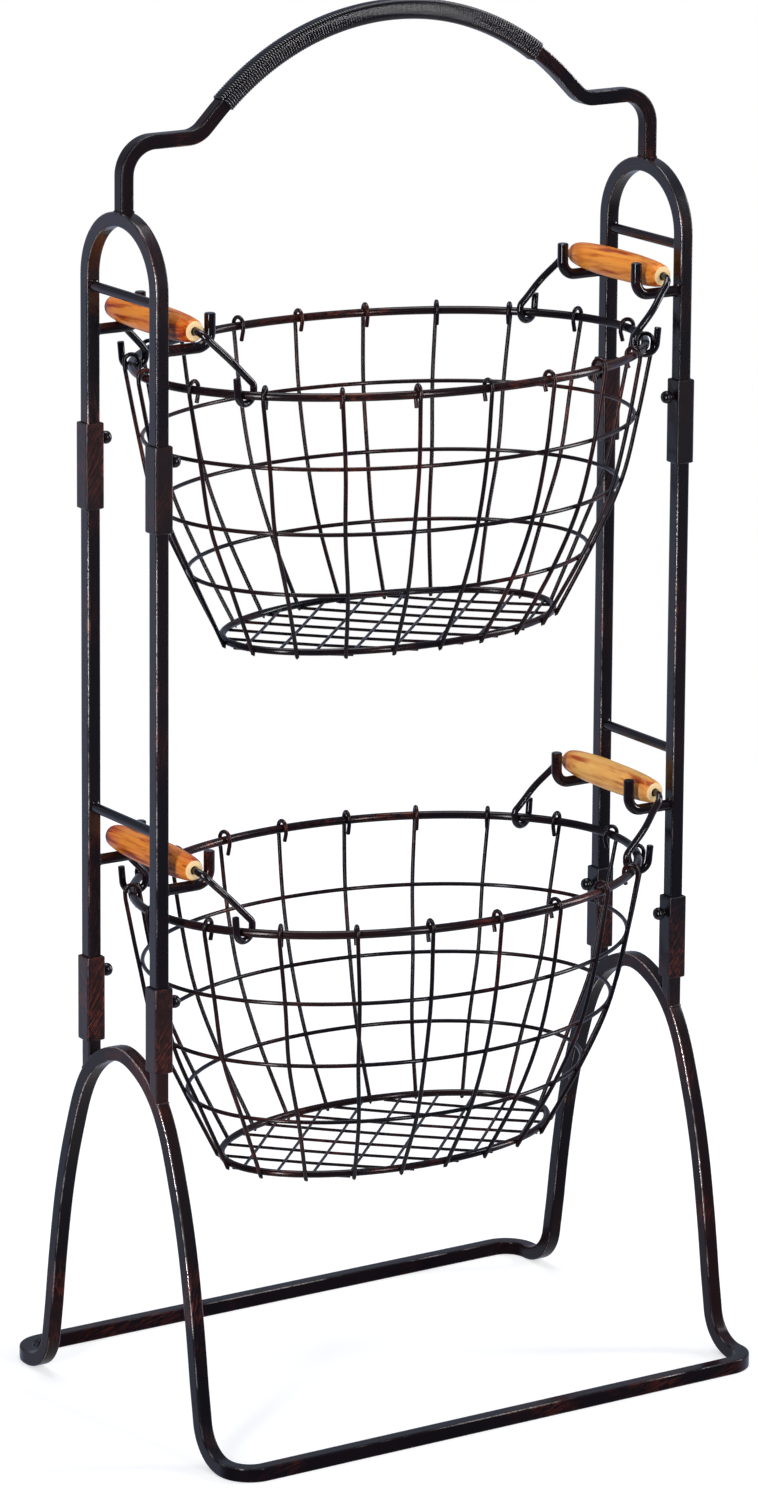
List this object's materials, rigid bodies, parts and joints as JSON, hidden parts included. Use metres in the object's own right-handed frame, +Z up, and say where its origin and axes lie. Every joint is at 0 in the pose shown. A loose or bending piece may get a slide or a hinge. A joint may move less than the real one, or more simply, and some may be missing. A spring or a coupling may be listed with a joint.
{
  "type": "tiered storage basket",
  "caption": "Free-standing storage stand with oval wire baskets in tiers, hung by wood-gripped bails from a tube frame with a wire-wound carrying handle.",
  "frame": {"origin": "on the floor, midway between the four posts", "axes": "+Z up through the handle's top, +X along the long side from post to post, +Y from front to back"},
  "size_m": [0.444, 0.312, 0.9802],
  "materials": {
    "bronzed_steel": "semi-gloss dark bronze with copper showing through at the edges",
    "grip_wood": "satin stained wood"
  },
  "bodies": {
    "base": {"base_side_left": "bronzed_steel", "base_side_right": "bronzed_steel", "floor_bar_front": "bronzed_steel", "floor_bar_back": "bronzed_steel", "lower_socket_left_front": "bronzed_steel", "lower_socket_left_back": "bronzed_steel", "lower_socket_right_front": "bronzed_steel", "lower_socket_right_back": "bronzed_steel"},
    "mid_left": {"mid_post_left_front": "bronzed_steel", "mid_post_left_back": "bronzed_steel", "upper_collar_left_front": "bronzed_steel", "upper_collar_left_back": "bronzed_steel", "mid_rung_left": "bronzed_steel", "mid_hook_left_front": "bronzed_steel", "mid_hook_left_back": "bronzed_steel"},
    "mid_right": {"mid_post_right_front": "bronzed_steel", "mid_post_right_back": "bronzed_steel", "upper_collar_right_front": "bronzed_steel", "upper_collar_right_back": "bronzed_steel", "mid_rung_right": "bronzed_steel", "mid_hook_right_front": "bronzed_steel", "mid_hook_right_back": "bronzed_steel"},
    "top_frame": {"top_arch_left": "bronzed_steel", "top_arch_right": "bronzed_steel", "top_rung_left": "bronzed_steel", "top_rung_right": "bronzed_steel", "top_hook_left_front": "bronzed_steel", "top_hook_left_back": "bronzed_steel", "top_hook_right_front": "bronzed_steel", "top_hook_right_back": "bronzed_steel", "handle_bar": "bronzed_steel", "handle_winding": "bronzed_steel"},
    "basket_lower": {"rim_lower": "bronzed_steel", "cage_lower": "bronzed_steel", "hoop_top_lower": "bronzed_steel", "hoop_low_lower": "bronzed_steel", "bottom_lower": "bronzed_steel"},
    "bail_lower_left_body": {"bail_lower_left": "bronzed_steel"},
    "grip_lower_left_body": {"grip_lower_left": "grip_wood"},
    "bail_lower_right_body": {"bail_lower_right": "bronzed_steel"},
    "grip_lower_right_body": {"grip_lower_right": "grip_wood"},
    "basket_upper": {"rim_upper": "bronzed_steel", "cage_upper": "bronzed_steel", "hoop_top_upper": "bronzed_steel", "hoop_low_upper": "bronzed_steel", "bottom_upper": "bronzed_steel"},
    "bail_upper_left_body": {"bail_upper_left": "bronzed_steel"},
    "grip_upper_left_body": {"grip_upper_left": "grip_wood"},
    "bail_upper_right_body": {"bail_upper_right": "bronzed_steel"},
    "grip_upper_right_body": {"grip_upper_right": "grip_wood"},
    "thumb_lower_left_front": {"screw_lower_left_front": "bronzed_steel"},
    "thumb_lower_left_back": {"screw_lower_left_back": "bronzed_steel"},
    "thumb_lower_right_front": {"screw_lower_right_front": "bronzed_steel"},
    "thumb_lower_right_back": {"screw_lower_right_back": "bronzed_steel"},
    "thumb_upper_left_front": {"screw_upper_left_front": "bronzed_steel"},
    "thumb_upper_left_back": {"screw_upper_left_back": "bronzed_steel"},
    "thumb_upper_right_front": {"screw_upper_right_front": "bronzed_steel"},
    "thumb_upper_right_back": {"screw_upper_right_back": "bronzed_steel"}
  },
  "joints": [
    {"name": "mid_left_lift", "type": "slide", "parent": "base", "child": "mid_left", "axis": [0, 0, 1], "range_m": [0, 0.028]},
    {"name": "mid_right_lift", "type": "slide", "parent": "base", "child": "mid_right", "axis": [0, 0, 1], "range_m": [0, 0.028]},
    {"name": "top_lift", "type": "slide", "parent": "mid_left", "child": "top_frame", "axis": [0, 0, 1], "range_m": [0, 0.028]},
    {"name": "basket_lower_lift", "type": "slide", "parent": "mid_left", "child": "basket_lower", "axis": [0, 0, 1], "range_m": [0, 0.02]},
    {"name": "basket_upper_lift", "type": "slide", "parent": "top_frame", "child": "basket_upper", "axis": [0, 0, 1], "range_m": [0, 0.02]},
    {"name": "bail_lower_left_swing", "type": "hinge", "parent": "basket_lower", "child": "bail_lower_left_body", "pos_m": [-0.16353, 0, 0.3606], "axis": [0, 1, 0], "range_deg": [0, 5]},
    {"name": "grip_lower_left_spin", "type": "hinge", "parent": "bail_lower_left_body", "child": "grip_lower_left_body", "pos_m": [-0.192, 0, 0.40399], "axis": [0, 1, 0], "continuous": true},
    {"name": "bail_lower_right_swing", "type": "hinge", "parent": "basket_lower", "child": "bail_lower_right_body", "pos_m": [0.16353, 0, 0.3606], "axis": [0, -1, 0], "range_deg": [0, 5]},
    {"name": "grip_lower_right_spin", "type": "hinge", "parent": "bail_lower_right_body", "child": "grip_lower_right_body", "pos_m": [0.192, 0, 0.40399], "axis": [0, 1, 0], "continuous": true},
    {"name": "bail_upper_left_swing", "type": "hinge", "parent": "basket_upper", "child": "bail_upper_left_body", "pos_m": [-0.16353, 0, 0.7336], "axis": [0, 1, 0], "range_deg": [0, 5]},
    {"name": "grip_upper_left_spin", "type": "hinge", "parent": "bail_upper_left_body", "child": "grip_upper_left_body", "pos_m": [-0.192, 0, 0.77699], "axis": [0, 1, 0], "continuous": true},
    {"name": "bail_upper_right_swing", "type": "hinge", "parent": "basket_upper", "child": "bail_upper_right_body", "pos_m": [0.16353, 0, 0.7336], "axis": [0, -1, 0], "range_deg": [0, 5]},
    {"name": "grip_upper_right_spin", "type": "hinge", "parent": "bail_upper_right_body", "child": "grip_upper_right_body", "pos_m": [0.192, 0, 0.77699], "axis": [0, 1, 0], "continuous": true},
    {"name": "thumb_lower_left_front_back_out", "type": "slide", "parent": "base", "child": "thumb_lower_left_front", "axis": [1, 0, 0], "range_m": [0, 0.0055]},
    {"name": "thumb_lower_left_back_back_out", "type": "slide", "parent": "base", "child": "thumb_lower_left_back", "axis": [1, 0, 0], "range_m": [0, 0.0055]},
    {"name": "thumb_lower_right_front_back_out", "type": "slide", "parent": "base", "child": "thumb_lower_right_front", "axis": [-1, 0, 0], "range_m": [0, 0.0055]},
    {"name": "thumb_lower_right_back_back_out", "type": "slide", "parent": "base", "child": "thumb_lower_right_back", "axis": [-1, 0, 0], "range_m": [0, 0.0055]},
    {"name": "thumb_upper_left_front_back_out", "type": "slide", "parent": "mid_left", "child": "thumb_upper_left_front", "axis": [1, 0, 0], "range_m": [0, 0.0055]},
    {"name": "thumb_upper_left_back_back_out", "type": "slide", "parent": "mid_left", "child": "thumb_upper_left_back", "axis": [1, 0, 0], "range_m": [0, 0.0055]},
    {"name": "thumb_upper_right_front_back_out", "type": "slide", "parent": "mid_right", "child": "thumb_upper_right_front", "axis": [-1, 0, 0], "range_m": [0, 0.0055]},
    {"name": "thumb_upper_right_back_back_out", "type": "slide", "parent": "mid_right", "child": "thumb_upper_right_back", "axis": [-1, 0, 0], "range_m": [0, 0.0055]}
  ],
  "couplings": [
    {"joint": "mid_right_lift", "follows": "mid_left_lift", "ratio": 1}
  ]
}
